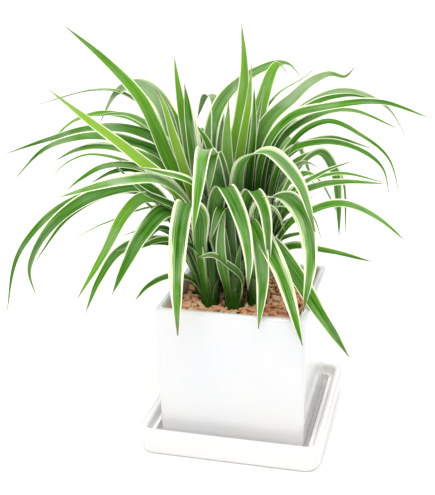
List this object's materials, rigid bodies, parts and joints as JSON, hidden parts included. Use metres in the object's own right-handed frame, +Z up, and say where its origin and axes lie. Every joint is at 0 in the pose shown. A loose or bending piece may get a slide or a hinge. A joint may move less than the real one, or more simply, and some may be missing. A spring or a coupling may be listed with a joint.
{
  "type": "potted spider plant",
  "caption": "Spider plant with long, arching, cream-edged leaves in a square white glazed pot on a matching saucer, its soil covered with clay chips.",
  "frame": {"origin": "centre of the saucer's flat underside, on the surface that it stands on", "axes": "+Z up, +X to the right along the pot's front face, +Y from the front face to the back"},
  "size_m": [0.3605, 0.2632, 0.3545],
  "materials": {
    "saucer_glaze": "glossy",
    "pot_glaze": "glossy",
    "soil": "matte, crumbly",
    "clay": "matte, porous",
    "leaf": "satin"
  },
  "bodies": {
    "root": {"saucer": "saucer_glaze", "pot": "pot_glaze", "potting_soil": "soil", "clay_chips": "clay", "shoot_front_left": "leaf", "shoot_left": "leaf", "shoot_rear_left": "leaf", "shoot_centre": "leaf", "shoot_rear_right": "leaf", "shoot_right": "leaf", "shoot_front_right": "leaf", "shoot_front": "leaf", "shoot_rear": "leaf"}
  },
  "joints": []
}
